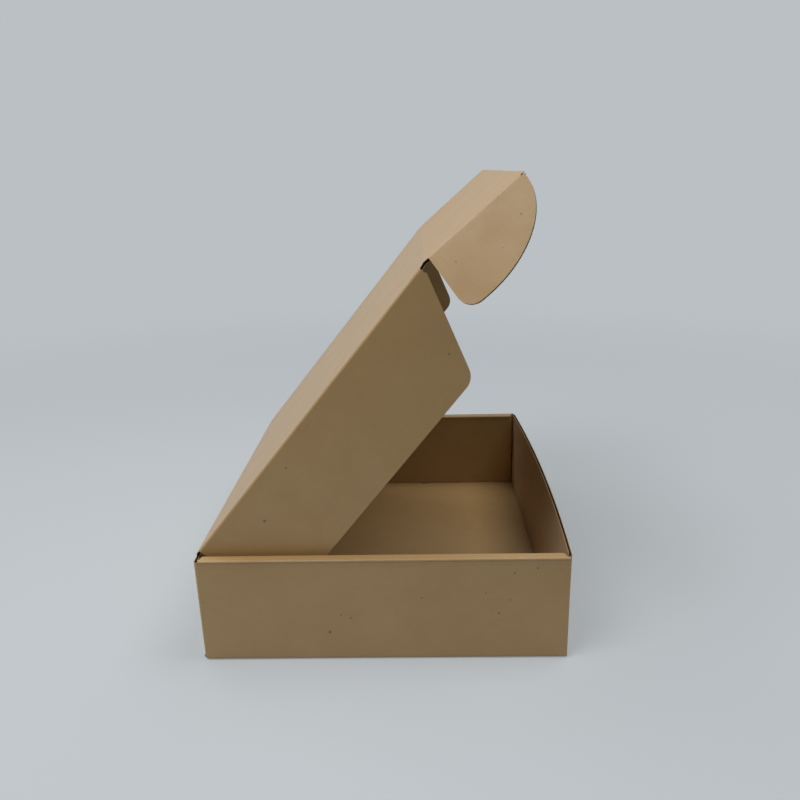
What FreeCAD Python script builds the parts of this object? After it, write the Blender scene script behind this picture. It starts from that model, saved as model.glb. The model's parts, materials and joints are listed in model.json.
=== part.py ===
import FreeCAD, Part
import math
import os

from FreeCAD import Vector

# A roll-over-side, tuck-top mailer box folded from one creased sheet of kraft corrugated board.
# Millimetres. +X is the front, where the tuck flap closes, +Y is the box's right-hand side seen from
# the front, +Z is up. The origin is the centre of the floor's underside.

# Board and creases
board = 1.6
crease_gap = 0.2
fold_radius = 2.0
fold_inner_radius = 0.3
roll_fold_radius = 1.3

# Tray
tray_length = 190.0
tray_width = 238.0
tray_height = 57.5
roll_wall_thickness = 6.4
side_front_setback = 0.5
side_rear_setback = 1.9
front_wall_drop = 0.3
front_wall_bow = 3.3
front_wall_lean = 0.6
back_wall_lean = 1.0
inner_end_gap = 0.8
inner_foot_gap = 0.3
roll_end_chamfer = 3.8
roll_end_lip = 0.8
roll_end_setback = 0.6
roll_end_depth = 1.5

# Ears of the front and back walls, held between the side wall's plies
corner_ear_length = 46.0
corner_ear_side_gap = 0.4
corner_ear_top_gap = 0.5
corner_ear_chamfer = 7.0

# Tabs on the inner side panels, and their slots in the floor
tab_width = 26.0
tab_offset = 38.0
tab_recess = 0.15
slot_side_gap = 0.35
slot_end_gap = 0.5
slot_slack = 3.5
slot_slack_reach = 1.4

# Small square relief punched in the floor where three creases meet
corner_relief = 2.2
corner_relief_reach = 1.0

# Lid
lid_angle = 51.0
lid_front_gap = 1.4
lid_side_gap = 1.4
lid_edge_radius = 1.2
lid_rear_relief = 1.2

# Side flaps of the lid
side_flap_depth = 52.9
side_flap_front_slant = 27.8
side_flap_front_setback = 1.8
side_flap_root_radius = 2.0
side_flap_front_radius = 9.0
side_flap_rear_setback = 2.6
side_flap_rear_taper = 4.5
side_flap_rear_radius = 8.0

# Tuck flap
tuck_bend = 10.0
tuck_length = 59.2

# Ears of the tuck flap
ear_splay = 30.0
ear_depth = 31.8
ear_root_setback = 2.7
ear_edge_setback = 1.4
ear_edge_length = 24.0
ear_heel_radius = 8.0
ear_deepest_at = 13.0
ear_tip_setback = 0.6
ear_crease_relief = 1.1

# Round notch punched where the lid, side flap and tuck flap meet
notch_radius = 2.2
notch_inset = 0.6

# Places that follow from the sizes above
half_board = board / 2
half_length = tray_length / 2
half_width = tray_width / 2
nose_gap = half_board + crease_gap
hinge_x = -half_length - back_wall_lean + half_board
hinge_z = tray_height - half_board
ear_outer_y = half_width - board - corner_ear_side_gap
strip_underside = tray_height - board
lid_length = tray_length - lid_front_gap
lid_half = half_width - roll_wall_thickness - lid_side_gap
tuck_half = lid_half - half_board
overshoot = 1.0


def rounded_outline(corners, place):
    """Closed wire through corners (u, v, radius), each rounded by its own radius."""
    starts = []
    ends = []
    mids = []
    count = len(corners)
    for i, (u, v, radius) in enumerate(corners):
        here = Vector(u, v, 0)
        before = Vector(corners[i - 1][0], corners[i - 1][1], 0) - here
        after = Vector(corners[(i + 1) % count][0], corners[(i + 1) % count][1], 0) - here
        half_turn = before.getAngle(after) / 2
        before.normalize()
        after.normalize()
        reach = radius / math.tan(half_turn) if radius else 0
        starts.append(here + before * reach)
        ends.append(here + after * reach)
        if radius:
            inward = before + after
            inward.normalize()
            mids.append(here + inward * (radius / math.sin(half_turn) - radius))
        else:
            mids.append(None)
    edges = []
    for i in range(count):
        if mids[i] is not None:
            arc = Part.Arc(place(starts[i]), place(mids[i]), place(ends[i]))
            edges.append(arc.toShape())
        edges.append(Part.makeLine(place(ends[i]), place(starts[(i + 1) % count])))
    return Part.Wire(edges)


def slab_along_x(corners, x_start, x_end):
    """Solid of a rounded (y, z) outline between two x."""
    wire = rounded_outline(corners, lambda p: Vector(x_start, p.x, p.y))
    return Part.Face(wire).extrude(Vector(x_end - x_start, 0, 0))


def slab_along_y(corners, y_start, y_end):
    """Solid of a rounded (x, z) outline between two y."""
    wire = rounded_outline(corners, lambda p: Vector(p.x, y_start, p.y))
    return Part.Face(wire).extrude(Vector(0, y_end - y_start, 0))


def slab_along_z(corners, z_start, z_end):
    """Solid of a rounded (x, y) outline between two z."""
    wire = rounded_outline(corners, lambda p: Vector(p.x, p.y, z_start))
    return Part.Face(wire).extrude(Vector(0, 0, z_end - z_start))


def block(x_low, x_high, y_low, y_high, z_low, z_high):
    """Box between two corners."""
    size = (x_high - x_low, y_high - y_low, z_high - z_low)
    return Part.makeBox(*size, Vector(x_low, y_low, z_low))


def mirrored_x(shape):
    """The same shape on the other side of the middle, front to back."""
    return shape.mirror(Vector(0, 0, 0), Vector(1, 0, 0))


def mirrored_y(shape):
    """The same shape on the other side of the middle, left to right."""
    return shape.mirror(Vector(0, 0, 0), Vector(0, 1, 0))


def fold_profile(centre_u, centre_v, place):
    """Quarter-turn section of the board about a crease, outwards on u and downwards on v."""
    inner = fold_radius - board
    slant = math.sqrt(0.5)
    outer_arc = Part.Arc(
        place(centre_u, centre_v - fold_radius),
        place(centre_u + fold_radius * slant, centre_v - fold_radius * slant),
        place(centre_u + fold_radius, centre_v),
    )
    inner_arc = Part.Arc(
        place(centre_u + inner, centre_v),
        place(centre_u + inner * slant, centre_v - inner * slant),
        place(centre_u, centre_v - inner),
    )
    edges = [
        outer_arc.toShape(),
        Part.makeLine(place(centre_u + fold_radius, centre_v), place(centre_u + inner, centre_v)),
        inner_arc.toShape(),
        Part.makeLine(place(centre_u, centre_v - inner), place(centre_u, centre_v - fold_radius)),
    ]
    return Part.Face(Part.Wire(edges))


def floor_and_rolled_sides():
    """One ribbon of board: inner panel, top strip, outer panel, floor, and the same again."""
    wall = half_width
    rolled = half_width - roll_wall_thickness
    foot = board + inner_foot_gap
    right_side = [
        (wall, 0, fold_radius),
        (wall, tray_height, roll_fold_radius),
        (rolled, tray_height, roll_fold_radius),
        (rolled, foot, 0),
        (rolled + board, foot, 0),
        (rolled + board, strip_underside, fold_inner_radius),
        (wall - board, strip_underside, fold_inner_radius),
        (wall - board, board, fold_inner_radius),
    ]
    left_side = [(-y, z, radius) for y, z, radius in reversed(right_side)]
    rear = -half_length + side_rear_setback
    return slab_along_x(right_side + left_side, rear, half_length - side_front_setback)


def roll_end_cutter():
    """Cuts the right side's front end: the strip's chamfer and the inner panel's end."""
    lip = half_width - roll_end_lip
    ear_line = ear_outer_y + crease_gap / 2
    inside = half_width - roll_wall_thickness - overshoot
    front = half_length + overshoot
    behind_wall = half_length - fold_radius - crease_gap
    chamfer = slab_along_z(
        [
            (front, lip, 0),
            (half_length - roll_end_setback, lip, 0),
            (behind_wall, ear_line, 0),
            (half_length - roll_end_chamfer, inside, 0),
            (front, inside, 0),
        ],
        strip_underside - roll_end_depth,
        tray_height + overshoot,
    )
    panel_end = block(
        half_length - board - inner_end_gap,
        front,
        half_width - roll_wall_thickness - crease_gap,
        ear_outer_y - board,
        board + crease_gap / 2,
        tray_height + overshoot,
    )
    return chamfer.fuse(panel_end)


def end_wall(top, bow, lean):
    """Front wall with its floor crease and both corner ears. It leans out, and its top edge bows."""
    crease_x = half_length - fold_radius
    corner_y = ear_outer_y - fold_radius
    sections = []
    for z, shift, swell in ((fold_radius, 0, 0), (top, lean, bow)):
        outer = half_length + shift
        inner = outer - board
        outside = Part.makeLine(Vector(outer, -corner_y, z), Vector(outer, corner_y, z))
        inside = Part.makeLine(Vector(inner, corner_y, z), Vector(inner, -corner_y, z))
        if swell:
            outer_mid = Vector(outer + swell, 0, z)
            inner_mid = Vector(inner + swell, 0, z)
            outside = Part.Arc(Vector(outer, -corner_y, z), outer_mid, Vector(outer, corner_y, z)).toShape()
            inside = Part.Arc(Vector(inner, corner_y, z), inner_mid, Vector(inner, -corner_y, z)).toShape()
        edges = [
            outside,
            Part.makeLine(Vector(outer, corner_y, z), Vector(inner, corner_y, z)),
            inside,
            Part.makeLine(Vector(inner, -corner_y, z), Vector(outer, -corner_y, z)),
        ]
        sections.append(Part.Wire(edges))
    panel = Part.makeLoft(sections, True, True)

    floor_crease = fold_profile(crease_x, fold_radius, lambda u, v: Vector(u, -ear_outer_y, v))
    floor_crease = floor_crease.extrude(Vector(0, 2 * ear_outer_y, 0))

    ear_end = half_length - corner_ear_length
    ear_top = strip_underside - corner_ear_top_gap
    ear_foot = fold_radius
    lean_at_top = lean * (ear_top - ear_foot) / (top - ear_foot)
    ear = slab_along_y(
        [
            (crease_x, ear_foot, 0),
            (crease_x + lean_at_top, ear_top, 0),
            (ear_end + corner_ear_chamfer / 2, ear_top, 0),
            (ear_end, ear_top - corner_ear_chamfer, 0),
            (ear_end, ear_foot + corner_ear_chamfer, 0),
            (ear_end + corner_ear_chamfer / 2, ear_foot, 0),
        ],
        ear_outer_y - board,
        ear_outer_y,
    )
    corner = fold_profile(crease_x, -corner_y, lambda u, v: Vector(u, -v, fold_radius))
    corner = corner.extrude(Vector(lean, 0, top - fold_radius))
    right_end = ear.fuse(corner)
    return panel.multiFuse([floor_crease, right_end, mirrored_y(right_end)])


def end_floor_cutter():
    """Takes the square end off the floor where the front wall's rounded crease replaces it."""
    return block(
        half_length - fold_radius,
        half_length + overshoot,
        -ear_outer_y,
        ear_outer_y,
        -overshoot,
        board + crease_gap / 2,
    )


def tab_slot():
    """Slot in the floor for the right side's front tab, with a wider slack end towards the middle."""
    rolled = half_width - roll_wall_thickness
    tab_start = tab_offset - tab_width / 2
    slot = block(
        tab_start - slot_slack,
        tab_offset + tab_width / 2 + slot_end_gap,
        rolled - slot_side_gap,
        rolled + board + slot_side_gap,
        -overshoot,
        board + inner_foot_gap / 2,
    )
    slack_end = block(
        tab_start - slot_slack,
        tab_start,
        rolled - slot_slack_reach,
        rolled + board,
        -overshoot,
        board + inner_foot_gap / 2,
    )
    return slot.fuse(slack_end)


def floor_corner_relief():
    """Square hole through the floor beside the right front corner, partly under the inner panel."""
    rolled = half_width - roll_wall_thickness
    crease_x = half_length - fold_radius
    return block(
        crease_x - corner_relief,
        crease_x,
        rolled - corner_relief_reach,
        rolled - corner_relief_reach + corner_relief,
        -overshoot,
        board + inner_foot_gap / 2,
    )


def tab():
    """Tab on the right inner panel that stands in its slot."""
    rolled = half_width - roll_wall_thickness
    return block(
        tab_offset - tab_width / 2,
        tab_offset + tab_width / 2,
        rolled,
        rolled + board,
        tab_recess,
        board + inner_foot_gap + overshoot,
    )


def four_corners(shape):
    """A feature of the right front corner, repeated at all four."""
    front = [shape, mirrored_y(shape)]
    return front + [mirrored_x(item) for item in front]


def make_tray():
    """The whole tray, one folded piece."""
    cutters = four_corners(roll_end_cutter()) + four_corners(tab_slot())
    cutters += four_corners(floor_corner_relief())
    cutters += [end_floor_cutter(), mirrored_x(end_floor_cutter())]
    body = floor_and_rolled_sides().cut(cutters)
    front_wall = end_wall(tray_height - front_wall_drop, front_wall_bow, front_wall_lean)
    back_wall = mirrored_x(end_wall(hinge_z - nose_gap, 0, back_wall_lean))
    body = body.multiFuse([front_wall, back_wall] + four_corners(tab()))
    return body.removeSplitter()


def crease_nose(length, direction, start):
    """Half-round edge of the board about a crease axis, as a full round rod."""
    return Part.makeCylinder(half_board, length, start, direction)


def notch_down():
    """Round punch through the lid's and tuck flap's right corner, along Z."""
    centre = Vector(lid_length, lid_half - notch_inset, -board)
    return Part.makeCylinder(notch_radius, 2 * board, centre, Vector(0, 0, 1))


def make_lid():
    """Top panel, flat, with its rear crease axis on Y through the origin and its outer face up."""
    front = lid_length - nose_gap
    neck_half = lid_half - board - crease_gap
    panel = slab_along_x(
        [
            (-lid_half, -half_board, 0),
            (-lid_half, half_board, lid_edge_radius),
            (lid_half, half_board, lid_edge_radius),
            (lid_half, -half_board, 0),
        ],
        lid_rear_relief,
        front,
    )
    neck = block(0, lid_rear_relief, -neck_half, neck_half, -half_board, half_board)
    nose = crease_nose(2 * neck_half, Vector(0, 1, 0), Vector(0, -neck_half, 0))
    panel = panel.multiFuse([neck, nose])
    panel = panel.cut([notch_down(), mirrored_y(notch_down())])
    return panel.removeSplitter()


def make_side_flap():
    """Right side flap in the lid's flat frame, hanging from the lid's side crease."""
    root = -half_board - crease_gap
    tip = half_board - side_flap_depth
    slant = math.tan(math.radians(side_flap_front_slant))
    front_root = lid_length - side_flap_front_setback
    front_tip = front_root - (root - tip) * slant
    return slab_along_y(
        [
            (side_flap_rear_setback, root, 0),
            (front_root, root, side_flap_root_radius),
            (front_tip, tip, side_flap_front_radius),
            (side_flap_rear_setback + side_flap_rear_taper, tip, side_flap_rear_radius),
        ],
        lid_half - board,
        lid_half,
    )


def make_tuck_flap():
    """Tuck flap, flat, with its crease axis on Y through the origin and its outer face up."""
    side = tuck_half - nose_gap
    relieved = side - ear_crease_relief
    shoulder = -half_board + ear_crease_relief
    panel = slab_along_x(
        [
            (-relieved, -half_board, 0),
            (-side, shoulder, 0),
            (-side, half_board, 0),
            (side, half_board, 0),
            (side, shoulder, 0),
            (relieved, -half_board, 0),
        ],
        0,
        tuck_length,
    )
    neck_half = tuck_half - notch_radius
    nose = crease_nose(2 * neck_half, Vector(0, 1, 0), Vector(0, -neck_half, 0))
    trim = Part.makeCylinder(notch_radius, 2 * board, Vector(0, tuck_half, -board), Vector(0, 0, 1))
    panel = panel.fuse(nose).cut([trim, mirrored_y(trim)])
    return panel.removeSplitter()


def make_tuck_ear():
    """Ear, with its crease axis on X through the origin, hanging straight down."""
    tip_at = tuck_length - ear_tip_setback
    slope = (ear_root_setback - ear_edge_setback) / ear_edge_length
    heel_at = ear_root_setback - slope * ear_depth

    # The heel is the rounded corner between the straight edge and the deepest line
    edge_direction = Vector(ear_root_setback - heel_at, 0, ear_depth)
    edge_direction.normalize()
    heel_corner = Vector(heel_at, 0, -ear_depth)
    half_turn = edge_direction.getAngle(Vector(1, 0, 0)) / 2
    reach = ear_heel_radius / math.tan(half_turn)
    bisector = edge_direction + Vector(1, 0, 0)
    bisector.normalize()
    heel_start = heel_corner + edge_direction * reach
    heel_mid = heel_corner + bisector * (ear_heel_radius / math.sin(half_turn) - ear_heel_radius)
    heel_end = heel_corner + Vector(reach, 0, 0)

    ellipse = Part.Ellipse(
        Vector(tip_at, 0, 0),
        Vector(ear_deepest_at, 0, -ear_depth),
        Vector(ear_deepest_at, 0, 0),
    )
    curve = Part.ArcOfEllipse(ellipse, 0, math.pi / 2).toShape()
    deepest = Vector(ear_deepest_at, 0, -ear_depth)
    root = Vector(ear_root_setback, 0, 0)
    edges = [
        Part.makeLine(root, heel_start),
        Part.Arc(heel_start, heel_mid, heel_end).toShape(),
        Part.makeLine(heel_end, deepest),
        curve,
        Part.makeLine(Vector(tip_at, 0, 0), root),
    ]
    plate = Part.Face(Part.Wire(edges))
    plate.translate(Vector(0, -half_board, 0))
    plate = plate.extrude(Vector(0, board, 0))
    nose_length = tip_at - board - ear_root_setback
    nose = crease_nose(nose_length, Vector(1, 0, 0), Vector(ear_root_setback, 0, 0))
    return plate.fuse(nose).removeSplitter()


def onto_lid(shape):
    """From the lid's flat frame to its place: lifted by the lid's angle at the hinge."""
    shape.rotate(Vector(0, 0, 0), Vector(0, 1, 0), -lid_angle)
    shape.translate(Vector(hinge_x, 0, hinge_z))
    return shape


def onto_tuck(shape):
    """From the tuck flap's flat frame to its place on the lid."""
    shape.rotate(Vector(0, 0, 0), Vector(0, 1, 0), tuck_bend)
    shape.translate(Vector(lid_length, 0, 0))
    return onto_lid(shape)


def placed_ear():
    """Right ear, splayed outwards at its crease, in the tuck flap's flat frame."""
    ear = make_tuck_ear()
    ear.rotate(Vector(0, 0, 0), Vector(1, 0, 0), ear_splay)
    ear.translate(Vector(0, tuck_half, 0))
    return ear


nodes = {
    "tray": make_tray(),
    "lid": onto_lid(make_lid()),
    "side_flap_right": onto_lid(make_side_flap()),
    "side_flap_left": onto_lid(mirrored_y(make_side_flap())),
    "tuck_flap": onto_tuck(make_tuck_flap()),
    "tuck_ear_right": onto_tuck(placed_ear()),
    "tuck_ear_left": onto_tuck(mirrored_y(placed_ear())),
}

os.makedirs("parts", exist_ok=True)
for name, shape in nodes.items():
    solids = shape.Solids
    print(name, "solids", len(solids), "valid", shape.isValid(), "volume", round(shape.Volume, 1))
    shape.exportStep("parts/" + name + ".step")
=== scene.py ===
import json
import math

import bpy
from bpy.props import FloatProperty, FloatVectorProperty, PointerProperty
from mathutils import Matrix, Vector

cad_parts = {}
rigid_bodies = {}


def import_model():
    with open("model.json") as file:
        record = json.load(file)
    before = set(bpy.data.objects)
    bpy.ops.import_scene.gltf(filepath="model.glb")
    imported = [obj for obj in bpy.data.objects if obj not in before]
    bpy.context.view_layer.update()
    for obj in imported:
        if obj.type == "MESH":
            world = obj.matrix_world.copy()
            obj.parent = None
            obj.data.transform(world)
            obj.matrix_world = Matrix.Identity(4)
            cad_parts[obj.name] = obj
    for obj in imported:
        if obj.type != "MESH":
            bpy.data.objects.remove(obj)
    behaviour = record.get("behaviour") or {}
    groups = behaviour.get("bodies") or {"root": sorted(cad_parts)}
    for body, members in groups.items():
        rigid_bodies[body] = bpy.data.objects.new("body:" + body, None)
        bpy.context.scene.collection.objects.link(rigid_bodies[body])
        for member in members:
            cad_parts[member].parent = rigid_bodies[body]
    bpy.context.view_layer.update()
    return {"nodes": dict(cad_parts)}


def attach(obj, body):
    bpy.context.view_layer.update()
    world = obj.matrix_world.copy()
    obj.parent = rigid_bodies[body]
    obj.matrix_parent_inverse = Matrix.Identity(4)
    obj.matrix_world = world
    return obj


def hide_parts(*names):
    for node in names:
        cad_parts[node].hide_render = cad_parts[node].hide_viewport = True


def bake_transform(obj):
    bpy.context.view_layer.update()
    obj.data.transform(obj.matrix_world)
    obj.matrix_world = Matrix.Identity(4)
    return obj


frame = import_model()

bl_info = {
    "name": "Corrugated Mailer Box",
    "version": (1, 0, 0),
    "blender": (4, 5, 0),
    "location": "3D View > Sidebar > Mailer Box",
    "description": "Dresses the folded mailer box as kraft corrugated board and sets its studio",
    "category": "Object",
}

MM = 0.001

# Pattern sizes of the paper
FIBRE_SIZE = 1.2 * MM
CLOUD_SIZE = 22 * MM
FLECK_SPACING = 7 * MM
CRUSH_SIZE = 8 * MM
RAW_FIBRE_SIZE = 0.8 * MM

# Heights of the paper's relief
WASHBOARD_RISE = 0.005 * MM
FIBRE_RISE = 0.006 * MM
CRUSH_RISE = 0.5 * MM
RAW_FIBRE_RISE = 0.05 * MM

# Where the strips' wear fades in, measured out from the lid and down from the strips' top
STRIP_START = 0.2 * MM
STRIP_FULL = 1.2 * MM
CRUSH_START = 4 * MM
CRUSH_FULL = 1 * MM

# The strips' painted shade line along their bend, partly the crushed crease's own darker tone: its
# drop below their top, its half widths and how much it darkens
SCORE_DROP = 0.9 * MM
SCORE_EDGE = 0.9 * MM
SCORE_CORE = 0.3 * MM
SCORE_PAINTED_SHADE = -0.34

# Knife-cut edges of the tray, and the band in which its end walls' top edges lie
RAW_EDGE_DEPTH = 1.2 * MM
END_TOP_WIDTH = 2.2 * MM
END_TOP_LEAST = 0.1 * MM
END_TOP_MOST = 3 * MM
FLAT_TOLERANCE = 0.05 * MM

# Where the flutes start in the side flaps, and in the tuck flap and its ears, in flutes
SIDE_PHASE = 0.3
TUCK_PHASE = 0.15

# How far the crease skins reach onto their panels and bend inside a corner
REAR_REACH = 3 * MM
FRONT_REACH = 2 * MM
SIDE_REACH = 1.2 * MM
EAR_TUCK_REACH = (-2.8 * MM, -0.2 * MM)
EAR_DOWN_REACH = (0.3 * MM, 2.6 * MM)
EAR_INSIDE_REACH = 1.2 * MM
INSIDE_BEND = 1.5 * MM

# Play at the ends of the skins, and how far an ear's tip stands back from the tuck flap's edge
END_PLAY = 0.1 * MM
SIDE_REAR_PLAY = 0.2 * MM
SIDE_FRONT_PLAY = 1.1 * MM
EAR_TIP_SETBACK = 0.6 * MM

# Paper sweep in metres: its floor's first ring and edge, the curve up and the wall's top
FLOOR_START = 0.6
FLOOR_RADIUS = 1.8
SWEEP_RADIUS = 0.7
SWEEP_TOP = 2.4

# Soft boxes in metres: name, place and share of the key's power
LAMP_WIDTH = 0.7
LAMP_AIM = (0.0, 0.0, 0.08)
LAMPS = (
    ("front_left_soft_box", (-0.5, -0.5, 1.1), 1.0),
    ("right_soft_box", (0.45, 0.0, 1.2), 0.76),
    ("rear_left_soft_box", (-0.5, 0.35, 1.15), 0.36),
)

# The camera's place and its turns in radians, fitted to the pack's corners in the photograph
CAMERA_PLACE = (19.07 * MM, -467.9 * MM, 245.14 * MM)
CAMERA_PAN = 0.0237
CAMERA_TILT = -0.2903
CAMERA_ROLL = 0.0216

# Dark pulp specks that stand out on the near side: x, y, z and radius in mm
TRAY_SPECKS = (
    (-27.9, -119, 16.4, 0.95),
    (-21.8, -119, 26.3, 0.5),
    (-16.8, -119, 24.5, 0.6),
    (19.8, -119, 35.8, 0.55),
    (52.2, -119, 38.3, 0.5),
    (59.0, -119, 26.7, 0.65),
    (64.4, -119, 34.2, 0.55),
    (66.6, -119, 49.5, 0.6),
    (78.0, -119, 52.1, 0.65),
)
LID_SPECKS = ((-59.1, -111.2, 75.8, 0.9), (-46.4, -111.2, 104.4, 0.6), (34.2, -111.2, 160.8, 0.6))
TUCK_SPECKS = ((65.6, -117.9, 224.8, 0.6), (37.2, -116.1, 204.3, 0.5))


def linear(code):
    """Linear colour of an sRGB hex code."""
    parts = [int(code[i : i + 2], 16) / 255 for i in (1, 3, 5)]
    return [c / 12.92 if c <= 0.04045 else ((c + 0.055) / 1.055) ** 2.4 for c in parts]


def length(name, description, millimetres):
    """A length property given in millimetres."""
    return FloatProperty(
        name=name,
        description=description,
        default=millimetres * MM,
        min=0,
        unit="LENGTH",
        precision=5,
    )


def angle(name, description, degrees):
    """An angle property given in degrees."""
    return FloatProperty(
        name=name, description=description, default=math.radians(degrees), unit="ROTATION"
    )


def colour(name, description, code):
    """A colour property given as an sRGB hex code."""
    return FloatVectorProperty(
        name=name,
        description=description,
        default=linear(code),
        size=3,
        min=0,
        max=1,
        subtype="COLOR",
    )


class BoardSizes(bpy.types.PropertyGroup):
    """E-flute corrugated board: two liners glued to a fluted middle sheet."""

    board: length("Board", "Caliper of the board", 1.6)
    liner: length("Liner", "Thickness of each flat liner", 0.26)
    medium: length("Medium", "Thickness of the fluted middle sheet", 0.2)
    pitch: length("Flute Pitch", "From one flute to the next", 3.3)
    medium_recess: length("Medium Recess", "How far the knife leaves the middle sheet back", 0.7)
    crease_gap: length("Crease Gap", "Play left round each crease", 0.2)
    skin_lift: length("Skin Lift", "How far a crease's skin stands proud of its panels", 0.02)
    skin: length("Skin", "Thickness of a crease's skin", 0.12)


class PackSizes(bpy.types.PropertyGroup):
    """Outline of the folded pack."""

    tray_length: length("Tray Length", "Outside, from back to front", 190.0)
    tray_height: length("Tray Height", "Outside", 57.5)
    back_wall_lean: length("Back Wall Lean", "How far the back wall's top stands out", 1.0)
    front_setback: length("Front Setback", "How far the side walls' front ends stand back", 0.5)
    rear_setback: length("Rear Setback", "How far the side walls' rear ends stand back", 1.9)
    lid_angle: angle("Lid Angle", "The lid's slope above level", 51.0)
    lid_length: length("Lid Length", "From the rear crease to the front crease", 188.6)
    lid_width: length("Lid Width", "Across both side creases", 222.4)
    flap_setback: length("Flap Setback", "Where the side creases start", 2.6)
    lid_edge_radius: length("Lid Edge Radius", "Roundness of the lid's side edges", 1.2)
    tuck_bend: angle("Tuck Bend", "How far the tuck flap droops from the lid's plane", 10.0)
    tuck_length: length("Tuck Length", "From its crease to its free edge", 59.2)
    ear_splay: angle("Ear Splay", "How far the tuck flap's ears stand out", 30.0)
    ear_root: length("Ear Root", "Where the ear's crease starts", 2.7)
    notch: length("Notch Radius", "Round punch at the lid's front corners", 2.2)


class KraftColours(bpy.types.PropertyGroup):
    """Colours of unbleached kraft paper."""

    liner: colour("Liner", "Brown liner paper", "#AE8A53")
    liner_deep: colour("Liner, Deep", "Denser patches of the same paper", "#A9854E")
    # The flute colour is the fluted paper's own darker brown, deepened as painted shade of the open
    # cells at the cut edges
    flute: colour("Flute", "The rougher fluted sheet and cut edges", "#4B3724")
    fleck: colour("Fleck", "Bark flecks in the pulp", "#4A331C")


class StudioSettings(bpy.types.PropertyGroup):
    """Paper sweep, lamps and camera."""

    paper: colour("Paper", "Pale grey-blue background paper", "#C6CBCF")
    backdrop: colour("Backdrop", "The paper as the camera sees it, away from the pack", "#BAC0C3")
    lens: FloatProperty(
        name="Lens", description="Focal length in mm on a 36 mm sensor", default=34.92
    )
    key: FloatProperty(
        name="Key", description="Power of the front left soft box", default=8.9, unit="POWER"
    )
    fill: FloatProperty(
        name="Fill", description="Strength of the even light round the pack", default=0.125
    )


# Selection and edit-mode helpers


def clear_selection():
    """Leaves edit mode and deselects everything."""
    if bpy.context.object and bpy.context.object.mode != "OBJECT":
        bpy.ops.object.mode_set(mode="OBJECT")
    bpy.ops.object.select_all(action="DESELECT")


def pick(*objects):
    """Selects only these objects, the first one active."""
    clear_selection()
    for item in objects:
        item.select_set(True)
    bpy.context.view_layer.objects.active = objects[0]


def edit(piece, mode="VERT"):
    """Opens a piece in edit mode with nothing selected."""
    pick(piece)
    bpy.ops.object.mode_set(mode="EDIT")
    bpy.ops.mesh.select_mode(type=mode)
    bpy.ops.mesh.select_all(action="DESELECT")


def done():
    """Back to object mode."""
    bpy.ops.object.mode_set(mode="OBJECT")


def select_vertices(piece, test):
    """In an edit session, selects the vertices whose place passes the test."""
    done()
    for vertex in piece.data.vertices:
        vertex.select = test(vertex.co)
    bpy.ops.object.mode_set(mode="EDIT")


def select_faces(piece, test):
    """In an edit session, selects the faces whose centre and normal pass the test."""
    done()
    for face in piece.data.polygons:
        face.select = test(face.center, face.normal)
    bpy.ops.object.mode_set(mode="EDIT")


def apply_modifier(piece, kind, **settings):
    """Adds a modifier, sets it and applies it."""
    pick(piece)
    bpy.ops.object.modifier_add(type=kind)
    modifier = piece.modifiers[-1]
    for key, value in settings.items():
        setattr(modifier, key, value)
    bpy.ops.object.modifier_apply(modifier=modifier.name)


def shade(piece, degrees):
    """Smooths round bends and keeps flat panels flat."""
    pick(piece)
    bpy.ops.object.shade_smooth_by_angle(angle=math.radians(degrees))
    apply_modifier(piece, "WEIGHTED_NORMAL", weight=100, keep_sharp=True)


def settle(piece, place):
    """Moves a piece by a matrix and applies it, so that its object stays at the origin."""
    pick(piece)
    piece.matrix_world = place @ piece.matrix_world
    bpy.ops.object.transform_apply(location=True, rotation=True, scale=True)


def outward(piece):
    """Turns every face outwards."""
    edit(piece)
    bpy.ops.mesh.select_all(action="SELECT")
    bpy.ops.mesh.normals_make_consistent(inside=False)
    done()


def cad_copy(node, name, whole=None):
    """A merged copy of a CAD node, ready to be shaped, its flat faces that pass the test whole."""
    pick(frame["nodes"][node])
    bpy.ops.object.duplicate()
    piece = bpy.context.object
    bpy.ops.object.parent_clear(type="CLEAR_KEEP_TRANSFORM")
    for key in list(piece.keys()):
        del piece[key]
    piece.name = name
    piece.data.name = name
    piece.data.materials.clear()
    edit(piece)
    bpy.ops.mesh.select_all(action="SELECT")
    bpy.ops.mesh.remove_doubles(threshold=0.002 * MM)
    if whole:
        bpy.ops.mesh.select_mode(type="FACE")
        select_faces(piece, whole)
    bpy.ops.mesh.dissolve_limited(angle_limit=math.radians(0.05))
    done()
    return piece


def duplicate(piece, name):
    """A copy of a piece with its own mesh."""
    pick(piece)
    bpy.ops.object.duplicate()
    copy = bpy.context.object
    copy.name = name
    return copy


def join(first, *others):
    """Joins pieces into the first."""
    pick(first, *others)
    bpy.ops.object.join()
    return first


# Places of the panels


def panel_frame(origin, across, outer):
    """Matrix of a panel's flat frame: X across flutes, Y along them and Z out of its outer face."""
    along = outer.cross(across)
    turn = Matrix((across, along, outer)).transposed().to_4x4()
    return Matrix.Translation(origin) @ turn


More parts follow.
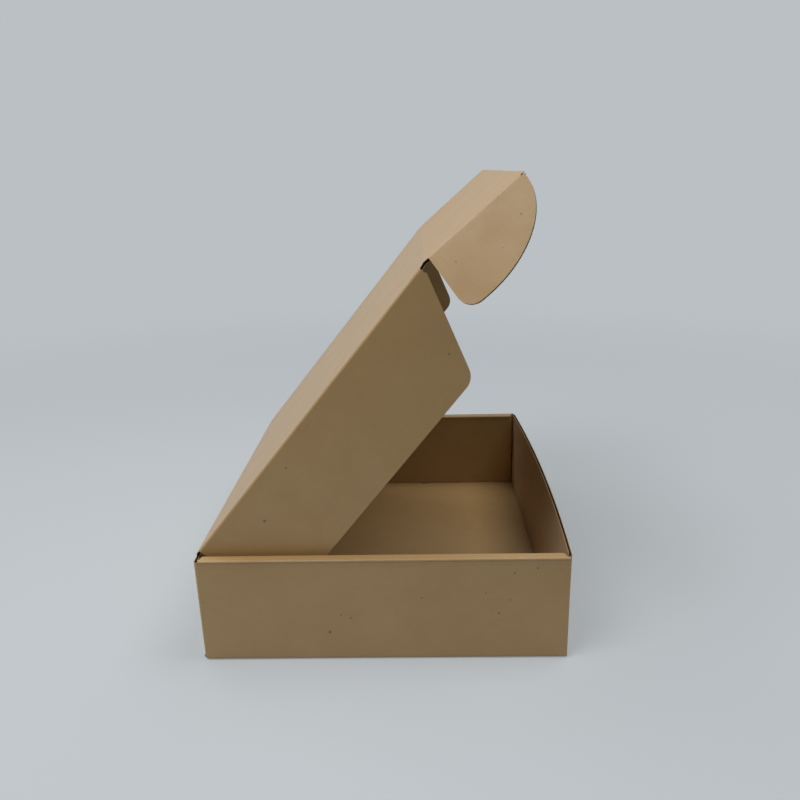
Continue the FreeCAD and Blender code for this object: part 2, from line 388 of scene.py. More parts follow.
def places():
    """The flat frames of the lid, tuck flap, side flaps and ears, in metres."""
    sizes = bpy.context.scene.mailer_pack
    half_board = bpy.context.scene.mailer_board.board / 2
    lid_half = sizes.lid_width / 2
    side = Vector((0, 1, 0))
    rear = -sizes.tray_length / 2 - sizes.back_wall_lean
    hinge = Vector((rear + half_board, 0, sizes.tray_height - half_board))
    slope = sizes.lid_angle
    lid_way = Vector((math.cos(slope), 0, math.sin(slope)))
    lid_out = Vector((-math.sin(slope), 0, math.cos(slope)))
    slope = sizes.lid_angle - sizes.tuck_bend
    tuck_way = Vector((math.cos(slope), 0, math.sin(slope)))
    tuck_out = Vector((-math.sin(slope), 0, math.cos(slope)))
    tuck_at = hinge + lid_way * sizes.lid_length
    splay = sizes.ear_splay
    found = {
        "lid": panel_frame(hinge, lid_way, lid_out),
        "tuck_flap": panel_frame(tuck_at, tuck_way, tuck_out),
    }
    for name, way in (("right", 1), ("left", -1)):
        flap_at = hinge + side * way * (lid_half - half_board)
        found["side_flap_" + name] = panel_frame(flap_at, lid_way, side * way)
        ear_out = side * way * math.cos(splay) + tuck_out * math.sin(splay)
        ear_at = tuck_at + side * way * (lid_half - half_board)
        found["tuck_ear_" + name] = panel_frame(ear_at, tuck_way, ear_out)
    return found


# Materials


def add_node(tree, kind, links=None, **settings):
    """Adds a shader node, sets its own settings and inputs, and links sockets into it."""
    node = tree.nodes.new(kind)
    for key, value in settings.items():
        if hasattr(node, key):
            setattr(node, key, value)
    for key, value in (links or {}).items():
        socket = node.inputs[key]
        if isinstance(value, bpy.types.NodeSocket):
            tree.links.new(value, socket)
        else:
            socket.default_value = value
    return node


def new_material(name):
    """An empty node material and its output."""
    material = bpy.data.materials.new(name)
    material.use_nodes = True
    material.node_tree.nodes.clear()
    output = material.node_tree.nodes.new("ShaderNodeOutputMaterial")
    return material, material.node_tree, output


def rgba(values, factor=1.0):
    """A colour with full alpha."""
    return (values[0] * factor, values[1] * factor, values[2] * factor, 1.0)


def specks(tree, where, spots):
    """Share of each point that lies on a speck, with the specks as (x, y, z, radius) in mm."""
    share = None
    for x, y, z, radius in spots:
        away = add_node(
            tree,
            "ShaderNodeVectorMath",
            {0: where, 1: (x * MM, y * MM, z * MM)},
            operation="DISTANCE",
        )
        near = add_node(
            tree,
            "ShaderNodeMapRange",
            {
                "Value": away.outputs["Value"],
                "From Min": radius * MM,
                "From Max": 0.6 * radius * MM,
            },
        )
        if share is None:
            share = near.outputs[0]
        else:
            share = add_node(
                tree, "ShaderNodeMath", {0: share, 1: near.outputs[0]}, operation="MAXIMUM"
            ).outputs[0]
    return share


def kraft_liner(name, tilt, spots, tray=False):
    """Kraft linerboard: unbleached brown paper, pressed smooth and dull on the corrugator.

    The eye gets a matt, even brown with cloudy patches of denser pulp, streaks of fibre across the
    flutes, a few dark bark flecks, and the faint washboard of the flutes beneath the liner.
    """
    board = bpy.context.scene.mailer_board
    pack = bpy.context.scene.mailer_pack
    colours = bpy.context.scene.mailer_colours
    material, tree, output = new_material(name)
    where = add_node(tree, "ShaderNodeTexCoord")
    turned = add_node(
        tree,
        "ShaderNodeMapping",
        {"Vector": where.outputs["Object"], "Rotation": (0, tilt, 0)},
    )
    axes = add_node(tree, "ShaderNodeSeparateXYZ", {0: turned.outputs[0]})
    across = axes.outputs["X"]
    if tray:
        # The front and back walls stand up from the floor, so their flutes are stacked on Z
        facing = add_node(tree, "ShaderNodeNewGeometry")
        normal = add_node(tree, "ShaderNodeSeparateXYZ", {0: facing.outputs["True Normal"]})
        size = add_node(tree, "ShaderNodeMath", {0: normal.outputs["X"]}, operation="ABSOLUTE")
        is_end = add_node(
            tree, "ShaderNodeMath", {0: size.outputs[0], 1: 0.7}, operation="GREATER_THAN"
        )
        chosen = add_node(
            tree,
            "ShaderNodeMix",
            {0: is_end.outputs[0], 2: axes.outputs["X"], 3: axes.outputs["Z"]},
            data_type="FLOAT",
        )
        across = chosen.outputs[0]

        # The roll-over strips lie outside the lid: crushed a little wavy, and along their bends a
        # painted shade line, partly the crushed crease's own darker tone
        strip_top = pack.tray_height
        lid_edge = pack.lid_width / 2
        sideways = add_node(tree, "ShaderNodeMath", {0: axes.outputs["Y"]}, operation="ABSOLUTE")
        on_side = add_node(
            tree,
            "ShaderNodeMapRange",
            {
                "Value": sideways.outputs[0],
                "From Min": lid_edge + STRIP_START,
                "From Max": lid_edge + STRIP_FULL,
            },
        )
        near_top = add_node(
            tree,
            "ShaderNodeMapRange",
            {
                "Value": axes.outputs["Z"],
                "From Min": strip_top - CRUSH_START,
                "From Max": strip_top - CRUSH_FULL,
            },
        )
        crushed = add_node(
            tree,
            "ShaderNodeMath",
            {0: near_top.outputs[0], 1: on_side.outputs[0]},
            operation="MULTIPLY",
        )
        waves = add_node(
            tree,
            "ShaderNodeTexNoise",
            {"Vector": where.outputs["Object"], "Scale": 1 / CRUSH_SIZE, "Detail": 3.0},
        )

    # Washboard of the flutes, one wave per flute pitch
    turns = add_node(
        tree, "ShaderNodeMath", {0: across, 1: 2 * math.pi / board.pitch}, operation="MULTIPLY"
    )
    washboard = add_node(tree, "ShaderNodeMath", {0: turns.outputs[0]}, operation="SINE")

    # Fibre streaks about 0.6 mm wide and a few mm long, cloudy patches about 20 mm across
    stretched = add_node(
        tree,
        "ShaderNodeMapping",
        {"Vector": turned.outputs[0], "Scale": (0.25, 1.0, 1.0)},
    )
    fibre = add_node(
        tree,
        "ShaderNodeTexNoise",
        {
            "Vector": stretched.outputs[0],
            "Scale": 1 / FIBRE_SIZE,
            "Detail": 4.0,
            "Roughness": 0.6,
        },
    )
    cloud = add_node(
        tree,
        "ShaderNodeTexNoise",
        {"Vector": turned.outputs[0], "Scale": 1 / CLOUD_SIZE, "Detail": 5.0, "Roughness": 0.62},
    )
    cloud_mask = add_node(
        tree,
        "ShaderNodeMapRange",
        {"Value": cloud.outputs[0], "From Min": 0.35, "From Max": 0.7},
    )
    base = add_node(
        tree,
        "ShaderNodeMix",
        {0: cloud_mask.outputs[0], 6: rgba(colours.liner), 7: rgba(colours.liner_deep)},
        data_type="RGBA",
    )
    fibre_light = add_node(
        tree,
        "ShaderNodeMapRange",
        {
            "Value": fibre.outputs[0],
            "From Min": 0.3,
            "From Max": 0.7,
            "To Min": 0.975,
            "To Max": 1.025,
        },
    )
    fibred = add_node(
        tree,
        "ShaderNodeVectorMath",
        {0: base.outputs[2], "Scale": fibre_light.outputs[0]},
        operation="SCALE",
    )
    if tray:
        # Painted shade along each strip's bend, partly the crushed crease's own darker tone: it
        # darkens the liner there
        above_score = add_node(
            tree,
            "ShaderNodeMath",
            {0: axes.outputs["Z"], 1: strip_top - SCORE_DROP},
            operation="SUBTRACT",
        )
        from_score = add_node(
            tree, "ShaderNodeMath", {0: above_score.outputs[0]}, operation="ABSOLUTE"
        )
        score_painted_shade = add_node(
            tree,
            "ShaderNodeMapRange",
            {
                "Value": from_score.outputs[0],
                "From Min": SCORE_EDGE,
                "From Max": SCORE_CORE,
                "To Max": SCORE_PAINTED_SHADE,
            },
        )
        # Painted shade factor of the bend line: one away from the strips, darker on the line itself
        light = add_node(
            tree,
            "ShaderNodeMath",
            {0: score_painted_shade.outputs[0], 1: on_side.outputs[0], 2: 1.0},
            operation="MULTIPLY_ADD",
        )
        fibred = add_node(
            tree,
            "ShaderNodeVectorMath",
            {0: fibred.outputs[0], "Scale": light.outputs[0]},
            operation="SCALE",
        )

    # Faint bark flecks up to 0.8 mm across, about one to every square centimetre
    cells = add_node(
        tree,
        "ShaderNodeTexVoronoi",
        {"Vector": turned.outputs[0], "Scale": 1 / FLECK_SPACING, "Randomness": 1.0},
    )
    cell_value = add_node(tree, "ShaderNodeSeparateColor", {0: cells.outputs["Color"]})
    reach = add_node(
        tree,
        "ShaderNodeMapRange",
        {
            "Value": cell_value.outputs[0],
            "From Min": 0.55,
            "From Max": 1.0,
            "To Min": 0.0,
            "To Max": 0.06,
        },
    )
    inside = add_node(
        tree,
        "ShaderNodeMath",
        {0: cells.outputs["Distance"], 1: reach.outputs[0]},
        operation="LESS_THAN",
    )
    faint = add_node(
        tree, "ShaderNodeMath", {0: inside.outputs[0], 1: 0.5}, operation="MULTIPLY"
    )
    speck = add_node(
        tree,
        "ShaderNodeMath",
        {0: faint.outputs[0], 1: specks(tree, where.outputs["Object"], spots)},
        operation="MAXIMUM",
    )
    fleck_share = add_node(
        tree, "ShaderNodeMath", {0: speck.outputs[0], 1: 0.75}, operation="MULTIPLY"
    )
    flecked = add_node(
        tree,
        "ShaderNodeMix",
        {0: fleck_share.outputs[0], 6: fibred.outputs[0], 7: rgba(colours.fleck)},
        data_type="RGBA",
    )
    rough = add_node(
        tree,
        "ShaderNodeMapRange",
        {
            "Value": cloud.outputs[0],
            "From Min": 0.3,
            "From Max": 0.7,
            "To Min": 0.5,
            "To Max": 0.6,
        },
    )

    # Relief: the washboard stands 0.01 mm from trough to crest, the fibres about 0.006 mm
    wash_height = add_node(
        tree, "ShaderNodeMath", {0: washboard.outputs[0], 1: WASHBOARD_RISE}, operation="MULTIPLY"
    )
    height = add_node(
        tree,
        "ShaderNodeMath",
        {0: fibre.outputs[0], 1: FIBRE_RISE, 2: wash_height.outputs[0]},
        operation="MULTIPLY_ADD",
    )
    if tray:
        depth = add_node(
            tree, "ShaderNodeMath", {0: crushed.outputs[0], 1: CRUSH_RISE}, operation="MULTIPLY"
        )
        height = add_node(
            tree,
            "ShaderNodeMath",
            {0: waves.outputs[0], 1: depth.outputs[0], 2: height.outputs[0]},
            operation="MULTIPLY_ADD",
        )
    relief = add_node(
        tree, "ShaderNodeBump", {"Height": height.outputs[0], "Distance": 1.0, "Strength": 1.0}
    )
    paper = add_node(
        tree,
        "ShaderNodeBsdfPrincipled",
        {
            "Base Color": flecked.outputs[2],
            "Roughness": rough.outputs[0],
            "Specular IOR Level": 0.95,
            "Sheen Weight": 0.16 if tray else 0.26,
            "Sheen Roughness": 0.5,
            "Normal": relief.outputs[0],
        },
    )
    tree.links.new(paper.outputs[0], output.inputs["Surface"])
    return material


def flute_and_painted_shade():
    """Fluting medium and knife-cut edges: coarser recycled paper in its own darker brown, deepened
    as painted shade of the open cells.
    """
    colours = bpy.context.scene.mailer_colours
    material, tree, output = new_material("flute_edge_painted_shade")
    where = add_node(tree, "ShaderNodeTexCoord")
    fibre = add_node(
        tree,
        "ShaderNodeTexNoise",
        {"Vector": where.outputs["Object"], "Scale": 1 / RAW_FIBRE_SIZE, "Detail": 3.0},
    )
    mix = add_node(
        tree,
        "ShaderNodeMix",
        {0: fibre.outputs[0], 6: rgba(colours.flute, 0.8), 7: rgba(colours.flute, 1.1)},
        data_type="RGBA",
    )
    relief = add_node(
        tree,
        "ShaderNodeBump",
        {"Height": fibre.outputs[0], "Distance": RAW_FIBRE_RISE, "Strength": 1.0},
    )
    paper = add_node(
        tree,
        "ShaderNodeBsdfPrincipled",
        {
            "Base Color": mix.outputs[2],
            "Roughness": 0.9,
            "Specular IOR Level": 0.2,
            "Normal": relief.outputs[0],
        },
    )
    tree.links.new(paper.outputs[0], output.inputs["Surface"])
    return material


def finish_named(name):
    """The material of that name, made at its first use."""
    if name in bpy.data.materials:
        return bpy.data.materials[name]
    sizes = bpy.context.scene.mailer_pack
    lid_tilt = sizes.lid_angle
    tuck_tilt = sizes.lid_angle - sizes.tuck_bend
    makers = {
        "kraft_liner_tray": lambda: kraft_liner(name, 0, TRAY_SPECKS, tray=True),
        "kraft_liner_lid": lambda: kraft_liner(name, lid_tilt, LID_SPECKS),
        "kraft_liner_tuck": lambda: kraft_liner(name, tuck_tilt, TUCK_SPECKS),
        "flute_edge_painted_shade": flute_and_painted_shade,
    }
    return makers[name]()


def wear(piece, *names):
    """Gives a piece its materials by name."""
    piece.data.materials.clear()
    for name in names:
        piece.data.materials.append(finish_named(name))


# Board


def swept_strip(name, profile, low, high):
    """An open strip whose (x, z) section is profile, from low to high on Y, extruded row by row."""
    clear_selection()
    bpy.ops.mesh.primitive_plane_add(size=1, location=(0, 0, 0))
    piece = bpy.context.object
    piece.name = name
    piece.data.name = name
    edit(piece)
    select_vertices(piece, lambda co: co.x > 0)
    bpy.ops.mesh.delete(type="VERT")
    bpy.ops.mesh.select_all(action="SELECT")
    bpy.ops.transform.resize(value=(1, high - low, 1))
    start = (profile[0][0] + 0.5, (low + high) / 2, profile[0][1])
    bpy.ops.transform.translate(value=start)
    for before, here in zip(profile, profile[1:]):
        step = (here[0] - before[0], 0, here[1] - before[1])
        bpy.ops.mesh.extrude_edges_move(TRANSFORM_OT_translate={"value": step})
    bpy.ops.mesh.select_all(action="SELECT")
    bpy.ops.mesh.normals_make_consistent(inside=False)
    done()
    return piece


def fluted_medium(name, low, high, phase):
    """The wavy middle sheet that fills a box in a flat frame: one flute, arrayed across it."""
    board = bpy.context.scene.mailer_board
    rise = (board.board - 2 * board.liner - board.medium) / 2
    steps = 10
    start = low[0] - board.pitch * (0.5 + phase)
    wave = []
    for i in range(steps + 1):
        turn = 2 * math.pi * i / steps
        wave.append((start + board.pitch * i / steps, rise * math.cos(turn)))
    margin = 1.0 * MM
    piece = swept_strip(name, wave, low[1] - margin, high[1] + margin)
    count = math.ceil((high[0] - start) / board.pitch) + 1
    apply_modifier(
        piece,
        "ARRAY",
        count=count,
        use_relative_offset=False,
        use_constant_offset=True,
        constant_offset_displace=(board.pitch, 0, 0),
        use_merge_vertices=True,
        merge_threshold=0.01 * MM,
    )
    apply_modifier(piece, "SOLIDIFY", thickness=board.medium, offset=0)
    outward(piece)
    return piece


def corrugated_panel(node, name, place, liner, phase=0.0):
    """A flat node as real corrugated board: two liners with the fluted medium between them."""
    board = bpy.context.scene.mailer_board
    core = board.board / 2 - board.liner
    blank = cad_copy(node, name + "_blank")
    settle(blank, place.inverted())
    corners = [vertex.co for vertex in blank.data.vertices]
    low = [min(co[i] for co in corners) for i in range(3)]
    high = [max(co[i] for co in corners) for i in range(3)]
    medium = fluted_medium(name + "_medium", low, high, phase)
    cutter = duplicate(blank, name + "_cutter")
    edit(cutter, "FACE")
    select_faces(cutter, lambda centre, normal: abs(normal.z) < 0.5)
    bpy.ops.transform.shrink_fatten(value=-board.medium_recess)
    done()
    apply_modifier(medium, "BOOLEAN", operation="INTERSECT", solver="EXACT", object=cutter)
    wear(medium, "flute_edge_painted_shade")

    sheets = []
    for side in (1, -1):
        sheet = duplicate(blank, name + "_liner")
        edit(sheet)
        bpy.ops.mesh.select_all(action="SELECT")
        bpy.ops.mesh.bisect(
            plane_co=(0, 0, side * core),
            plane_no=(0, 0, side),
            use_fill=True,
            clear_inner=True,
        )
        done()
        wear(sheet, liner, "flute_edge_painted_shade")
        # The liners' inner faces take the dark flute colour: painted shade inside the cells
        for face in sheet.data.polygons:
            face.material_index = 0 if face.normal.z * side > -0.5 else 1
        sheets.append(sheet)
    pick(blank, cutter)
    bpy.ops.object.delete()
    panel = join(sheets[0], sheets[1], medium)
    panel.name = name
    panel.data.name = name
    settle(panel, place)
    shade(panel, 30)
    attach(panel, node)
    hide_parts(node)
    return panel


def arc(centre, radius, start, end, steps):
    """Points (u, v) on an arc between two angles in degrees."""
    found = []
    for i in range(steps + 1):
        turn = math.radians(start + (end - start) * i / steps)
        found.append((centre[0] + radius * math.cos(turn), centre[1] + radius * math.sin(turn)))
    return found


def run(start, direction, first, last, steps):
    """Points (u, v) along a straight run from start, between two distances."""
    found = []
    for i in range(steps + 1):
        reach = first + (last - first) * i / steps
        found.append((start[0] + direction[0] * reach, start[1] + direction[1] * reach))
    return found


def fillet(start, corner, end, steps):
    """Points (u, v) on a soft curve inside a corner, without its two ends."""
    found = []
    for i in range(1, steps):
        t = i / steps
        found.append(
            tuple(
                (1 - t) ** 2 * a + 2 * t * (1 - t) * b + t**2 * c
                for a, b, c in zip(start, corner, end)
            )
        )
    return found


def crease_skin(name, profile, low, high, place, liner):
    """The liner's skin over a crease, turning smoothly from one body to the other."""
    board = bpy.context.scene.mailer_board
    skin = swept_strip(name, profile, low, high)
    apply_modifier(skin, "SOLIDIFY", thickness=board.skin, offset=0)
    outward(skin)
    settle(skin, place)
    wear(skin, liner)
    shade(skin, 40)
    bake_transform(skin)
    return skin


class MAILER_OT_tray(bpy.types.Operator):
    """Dress the tray and open the board's core along its knife-cut edges"""

    bl_idname = "mailer.tray"
    bl_label = "Tray"

    def execute(self, context):
        board = context.scene.mailer_board
        sizes = context.scene.mailer_pack
        half = sizes.tray_length / 2
        high = sizes.tray_height

        def is_end_top(centre, normal):
            # Top edges of the front and back walls with their rounded corners, below the strips
            near_end = abs(centre.x) > half - END_TOP_WIDTH and normal.z > 0.9
            return near_end and high - END_TOP_MOST < centre.z < high - END_TOP_LEAST

        def is_square(centre, normal):
            # The bowed and leaning walls and their curved top edges keep their facets
            return max(map(abs, normal)) > 0.99999 and not is_end_top(centre, normal)

        front = half - sizes.front_setback
        rear = -half + sizes.rear_setback

        def is_raw(centre, normal):
            side_end = abs(normal.x) > 0.99 and abs(centre.y) > sizes.lid_width / 2
            from_end = min(abs(centre.x - front), abs(centre.x - rear))
            side_end = side_end and from_end < FLAT_TOLERANCE
            return side_end or is_end_top(centre, normal)

        tray = cad_copy("tray", "folded_tray", is_square)
        wear(tray, "kraft_liner_tray", "flute_edge_painted_shade")
        edit(tray, "FACE")
        select_faces(tray, is_raw)
        bpy.ops.mesh.inset(
            thickness=board.liner, depth=0, use_even_offset=True, use_individual=False
        )
        bpy.ops.mesh.extrude_region_shrink_fatten(
            TRANSFORM_OT_shrink_fatten={"value": -RAW_EDGE_DEPTH, "use_even_offset": False}
        )
        # The groove and the faces round it take the dark flute colour: painted shade of the open
        # cells along the cut edges
        tray.active_material_index = 1
        bpy.ops.mesh.select_more()
        bpy.ops.object.material_slot_assign()
        done()
        shade(tray, 30)
        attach(tray, "tray")
        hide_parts("tray")
        return {"FINISHED"}


class MAILER_OT_lid(bpy.types.Operator):
    """Build the lid's top panel as corrugated board"""

    bl_idname = "mailer.lid"
    bl_label = "Lid"

    def execute(self, context):
        corrugated_panel("lid", "lid_panel", places()["lid"], "kraft_liner_lid")
        return {"FINISHED"}


class MAILER_OT_side_flaps(bpy.types.Operator):
    """Build both side flaps of the lid as corrugated board"""

    bl_idname = "mailer.side_flaps"
    bl_label = "Side Flaps"

    def execute(self, context):
        found = places()
        for side in ("right", "left"):
            node = "side_flap_" + side
            corrugated_panel(node, node + "_panel", found[node], "kraft_liner_lid", SIDE_PHASE)
        return {"FINISHED"}


class MAILER_OT_tuck_flap(bpy.types.Operator):
    """Build the tuck flap as corrugated board"""

    bl_idname = "mailer.tuck_flap"
    bl_label = "Tuck Flap"

    def execute(self, context):
        place = places()["tuck_flap"]
        corrugated_panel("tuck_flap", "tuck_flap_panel", place, "kraft_liner_tuck", TUCK_PHASE)
        return {"FINISHED"}


class MAILER_OT_tuck_ears(bpy.types.Operator):
    """Build both ears of the tuck flap as corrugated board"""

    bl_idname = "mailer.tuck_ears"
    bl_label = "Tuck Ears"

    def execute(self, context):
        found = places()
        for side in ("right", "left"):
            node = "tuck_ear_" + side
            corrugated_panel(node, node + "_panel", found[node], "kraft_liner_tuck", TUCK_PHASE)
        return {"FINISHED"}


class MAILER_OT_creases(bpy.types.Operator):
    """Lay the liner's skin over every crease"""

    bl_idname = "mailer.creases"
    bl_label = "Creases"

    def execute(self, context):
        board = context.scene.mailer_board
        sizes = context.scene.mailer_pack
        found = places()
        half_board = board.board / 2
        face = half_board + board.skin_lift - board.skin / 2
        gap = half_board + board.crease_gap
        lid_half = sizes.lid_width / 2
        tuck_half = lid_half - half_board
        lid = found["lid"]
        hinge = Matrix.Translation(lid.translation)

        # Rear crease, seen from behind and from inside, in a frame that stands on the back wall
        slope = math.degrees(sizes.lid_angle)
        way = (math.cos(sizes.lid_angle), math.sin(sizes.lid_angle))
        neck = lid_half - board.board - 1.5 * board.crease_gap
        outer = run((-face, 0), (0, 1), -REAR_REACH, -gap, 3)
        outer += arc((0, 0), face, 180, 90 + slope, 10)
        outer += run((-face * way[1], face * way[0]), way, gap, REAR_REACH, 3)
        crease_skin(
            "rear_crease_outside",
            outer,
            -neck,
            neck,
            hinge,
            "kraft_liner_lid",
        )
        meet = face * (1 - way[1]) / way[0]
        corner = (face, meet)
        wall_end = (face, meet - INSIDE_BEND)
        lid_start = (face + way[0] * INSIDE_BEND, meet + way[1] * INSIDE_BEND)
        inner = run((face, 0), (0, 1), -REAR_REACH, meet - INSIDE_BEND, 2)
        inner += fillet(wall_end, corner, lid_start, 8)
        inner += run(lid_start, way, 0, INSIDE_BEND, 2)
        crease_skin(
            "rear_crease_inside",
            inner,
            -neck,
            neck,
            hinge,
            "kraft_liner_lid",
        )

        # Front crease between the lid and the tuck flap, in the lid's frame
        bend = -sizes.tuck_bend
        tuck_way = (math.cos(bend), math.sin(bend))
        front = sizes.lid_length
        reach = tuck_half - sizes.notch - END_PLAY
        for name, side in (("front_crease_outside", 1), ("front_crease_inside", -1)):
            start = (front - gap, side * face)
            out = (-tuck_way[1] * side * face, tuck_way[0] * side * face)
            end = (front + out[0] + tuck_way[0] * gap, out[1] + tuck_way[1] * gap)
            middle = (front + out[0] / 2, side * face)
            profile = run(start, (1, 0), -FRONT_REACH, 0, 3)
            profile += fillet(start, middle, end, 8)
            profile += run(end, tuck_way, 0, FRONT_REACH, 3)
            crease_skin(
                name,
                profile,
                -reach,
                reach,
                lid,
                "kraft_liner_lid",
            )

        # Side creases run along the lid, and the ears' creases along the tuck flap
        for name, side in (("right", 1), ("left", -1)):
            # Section in (y, z) of the lid, swept on X: the frame's X is the lid's side way
            sideways = Matrix(((0, 1, 0, 0), (side, 0, 0, 0), (0, 0, 1, 0), (0, 0, 0, 1)))
            radius = sizes.lid_edge_radius
            centre = (lid_half - radius, half_board - radius)
            lifted = radius + board.skin_lift - board.skin / 2
            wall = centre[0] + lifted
            profile = run((centre[0], centre[1] + lifted), (1, 0), -SIDE_REACH, 0, 1)
            profile += arc(centre, lifted, 90, 0, 8)[1:]
            profile += run((wall, 0), (0, -1), half_board * 0.75, half_board * 0.95, 1)
            profile += run((wall, 0), (0, -1), half_board, half_board + board.crease_gap * 1.4, 8)
            profile += run(
                (wall, 0), (0, -1), half_board + board.crease_gap * 2, half_board * 3.2, 2
            )
            crease_skin(
                "side_crease_" + name,
                profile,
                sizes.flap_setback + SIDE_REAR_PLAY,
                sizes.lid_length - sizes.notch - SIDE_FRONT_PLAY,
                lid @ sideways,
                "kraft_liner_lid",
            )

            tuck = found["tuck_flap"] @ sideways
            splay = sizes.ear_splay
            axis = (tuck_half, 0)
            down = (math.sin(splay), -math.cos(splay))
            out = (math.cos(splay), math.sin(splay))
            first = sizes.ear_root + END_PLAY
            last = sizes.tuck_length - EAR_TIP_SETBACK - board.board - END_PLAY
            outside = run((axis[0], face), (1, 0), *EAR_TUCK_REACH, 4)
            outside += arc(axis, face, 90, math.degrees(splay), 10)
            outside += run((axis[0] + face * out[0], face * out[1]), down, *EAR_DOWN_REACH, 4)
            crease_skin(
                "ear_crease_outside_" + name,
                outside,
                first,
                last,
                tuck,
                "kraft_liner_tuck",
            )
            slide = (face - face * out[1]) / math.cos(splay)
            meet = (axis[0] - face * out[0] + slide * down[0], -face)
            begin = (meet[0] - INSIDE_BEND, meet[1])
            stop = (meet[0] + INSIDE_BEND * down[0], meet[1] + INSIDE_BEND * down[1])
            inside = run(begin, (1, 0), -EAR_INSIDE_REACH, 0, 2)
            inside += fillet(begin, meet, stop, 8)
            inside += run(stop, down, 0, EAR_INSIDE_REACH, 2)
            crease_skin(
                "ear_crease_inside_" + name,
                inside,
                first,
                last,
                tuck,
                "kraft_liner_tuck",
            )
        return {"FINISHED"}


def soft_box(name, place, power):
    """A square area lamp that faces the pack."""
    clear_selection()
    bpy.ops.object.light_add(type="AREA", location=place)
    lamp = bpy.context.object
    lamp.name = name
    lamp.data.shape = "SQUARE"
    lamp.data.size = LAMP_WIDTH
    lamp.data.energy = power
    aim = Vector(LAMP_AIM) - Vector(place)
    lamp.rotation_euler = aim.to_track_quat("-Z", "Y").to_euler()
    return lamp


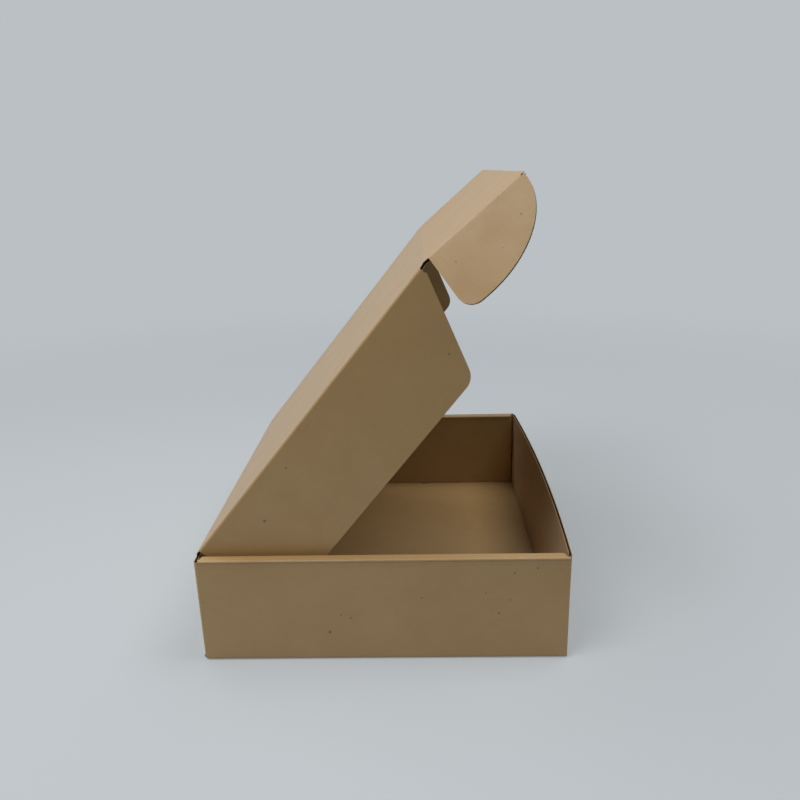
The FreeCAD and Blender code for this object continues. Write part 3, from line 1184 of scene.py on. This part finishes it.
class MAILER_OT_studio(bpy.types.Operator):
    """Set the paper sweep, the lamps and the camera"""

    bl_idname = "mailer.studio"
    bl_label = "Studio"

    def execute(self, context):
        studio = context.scene.mailer_studio
        context.scene.view_settings.view_transform = "Standard"

        # A round sweep: flat floor that turns up into a wall all round, spun from its section
        profile = [(0.0, 0.0)] + run((0, 0), (1, 0), FLOOR_START, FLOOR_RADIUS, 3)
        profile += arc((FLOOR_RADIUS, SWEEP_RADIUS), SWEEP_RADIUS, -90, 0, 12)[1:]
        profile.append((FLOOR_RADIUS + SWEEP_RADIUS, SWEEP_TOP))
        clear_selection()
        bpy.ops.mesh.primitive_plane_add(size=1, location=(0, 0, 0))
        sweep = context.object
        sweep.name = "paper_sweep"
        edit(sweep)
        select_vertices(sweep, lambda co: co.x > 0 or co.y > 0)
        bpy.ops.mesh.delete(type="VERT")
        bpy.ops.mesh.select_all(action="SELECT")
        bpy.ops.transform.translate(value=(0.5, 0.5, 0))
        for before, here in zip(profile, profile[1:]):
            step = (here[0] - before[0], 0, here[1] - before[1])
            bpy.ops.mesh.extrude_vertices_move(TRANSFORM_OT_translate={"value": step})
        bpy.ops.mesh.select_all(action="SELECT")
        bpy.ops.mesh.spin(
            steps=72, angle=2 * math.pi, center=(0, 0, 0), axis=(0, 0, 1), use_auto_merge=True
        )
        bpy.ops.mesh.select_all(action="SELECT")
        bpy.ops.mesh.remove_doubles(threshold=0.1 * MM)
        bpy.ops.mesh.normals_make_consistent(inside=True)
        done()
        bpy.ops.object.shade_smooth()
        material, tree, output = new_material("matt_background_paper")
        glow = add_node(
            tree, "ShaderNodeEmission", {"Color": rgba(studio.backdrop), "Strength": 1.0}
        )
        path = add_node(tree, "ShaderNodeLightPath")
        seen = add_node(
            tree,
            "ShaderNodeMath",
            {0: path.outputs["Is Camera Ray"], 1: path.outputs["Is Glossy Ray"]},
            operation="MAXIMUM",
        )
        seen = add_node(
            tree,
            "ShaderNodeMath",
            {0: seen.outputs[0], 1: path.outputs["Is Transmission Ray"]},
            operation="MAXIMUM",
        )
        where = add_node(tree, "ShaderNodeTexCoord")
        distance = add_node(
            tree, "ShaderNodeVectorMath", {0: where.outputs["Object"]}, operation="LENGTH"
        )
        away = add_node(
            tree,
            "ShaderNodeMapRange",
            {"Value": distance.outputs["Value"], "From Min": 0.12, "From Max": 1.0, "To Min": 0.45},
            interpolation_type="SMOOTHSTEP",
        )
        # Painted pool of light: for bounce rays the sheet's colour fades to a fifth away from its
        # middle, so the pack catches light back only from the middle and its high parts get less of
        # it
        middle = add_node(
            tree,
            "ShaderNodeMapRange",
            {
                "Value": distance.outputs["Value"],
                "From Min": 0.25,
                "From Max": 0.6,
                "To Min": 1.0,
                "To Max": 0.2,
            },
            interpolation_type="SMOOTHSTEP",
        )
        painted_pool_share = add_node(
            tree, "ShaderNodeMath", {0: seen.outputs[0], 1: middle.outputs[0]}, operation="MAXIMUM"
        )
        sheet = add_node(
            tree,
            "ShaderNodeVectorMath",
            {0: studio.paper, "Scale": painted_pool_share.outputs[0]},
            operation="SCALE",
        )
        diffuse = add_node(tree, "ShaderNodeBsdfDiffuse", {"Color": sheet.outputs[0]})
        share = add_node(
            tree, "ShaderNodeMath", {0: seen.outputs[0], 1: away.outputs[0]}, operation="MULTIPLY"
        )
        mixed = add_node(
            tree,
            "ShaderNodeMixShader",
            {0: share.outputs[0], 1: diffuse.outputs[0], 2: glow.outputs[0]},
        )
        tree.links.new(mixed.outputs[0], output.inputs["Surface"])
        sweep.data.materials.append(material)

        world = context.scene.world or bpy.data.worlds.new("studio_light")
        context.scene.world = world
        world.use_nodes = True
        world.node_tree.nodes.clear()
        even = add_node(
            world.node_tree,
            "ShaderNodeBackground",
            {"Color": (0.93, 0.97, 1.0, 1.0), "Strength": studio.fill},
        )
        sky = world.node_tree.nodes.new("ShaderNodeOutputWorld")
        world.node_tree.links.new(even.outputs[0], sky.inputs["Surface"])

        for name, place, share in LAMPS:
            soft_box(name, place, studio.key * share)

        clear_selection()
        bpy.ops.object.camera_add(location=CAMERA_PLACE)
        camera = context.object
        turn = (
            Matrix.Rotation(CAMERA_PAN, 4, "Z")
            @ Matrix.Rotation(CAMERA_TILT, 4, "X")
            @ Matrix.Rotation(CAMERA_ROLL, 4, "Y")
            @ Matrix.Rotation(math.pi / 2, 4, "X")
        )
        camera.rotation_euler = turn.to_euler()
        camera.data.lens = studio.lens
        camera.data.sensor_width = 36
        camera.data.clip_start = 0.01
        camera.data.clip_end = 20
        context.scene.camera = camera
        return {"FINISHED"}


class MAILER_PT_panel(bpy.types.Panel):
    """Sizes, colours and steps of the mailer box"""

    bl_idname = "MAILER_PT_panel"
    bl_label = "Mailer Box"
    bl_space_type = "VIEW_3D"
    bl_region_type = "UI"
    bl_category = "Mailer Box"

    def draw(self, context):
        layout = self.layout
        for group in (
            context.scene.mailer_board,
            context.scene.mailer_pack,
            context.scene.mailer_colours,
            context.scene.mailer_studio,
        ):
            box = layout.box()
            for key in group.__annotations__:
                box.prop(group, key)
        for step in STEPS:
            layout.operator(step)


STEPS = (
    "mailer.tray",
    "mailer.lid",
    "mailer.side_flaps",
    "mailer.tuck_flap",
    "mailer.tuck_ears",
    "mailer.creases",
    "mailer.studio",
)

GROUPS = {
    "mailer_board": BoardSizes,
    "mailer_pack": PackSizes,
    "mailer_colours": KraftColours,
    "mailer_studio": StudioSettings,
}

CLASSES = (
    BoardSizes,
    PackSizes,
    KraftColours,
    StudioSettings,
    MAILER_OT_tray,
    MAILER_OT_lid,
    MAILER_OT_side_flaps,
    MAILER_OT_tuck_flap,
    MAILER_OT_tuck_ears,
    MAILER_OT_creases,
    MAILER_OT_studio,
    MAILER_PT_panel,
)


def register():
    for item in CLASSES:
        bpy.utils.register_class(item)
    for name, group in GROUPS.items():
        setattr(bpy.types.Scene, name, PointerProperty(type=group))


def unregister():
    for name in GROUPS:
        delattr(bpy.types.Scene, name)
    for item in reversed(CLASSES):
        bpy.utils.unregister_class(item)


def main():
    """Runs every step in order."""
    register()
    for step in STEPS:
        family, name = step.split(".")
        getattr(getattr(bpy.ops, family), name)()
    bpy.context.view_layer.update()


if __name__ == "__main__":
    main()
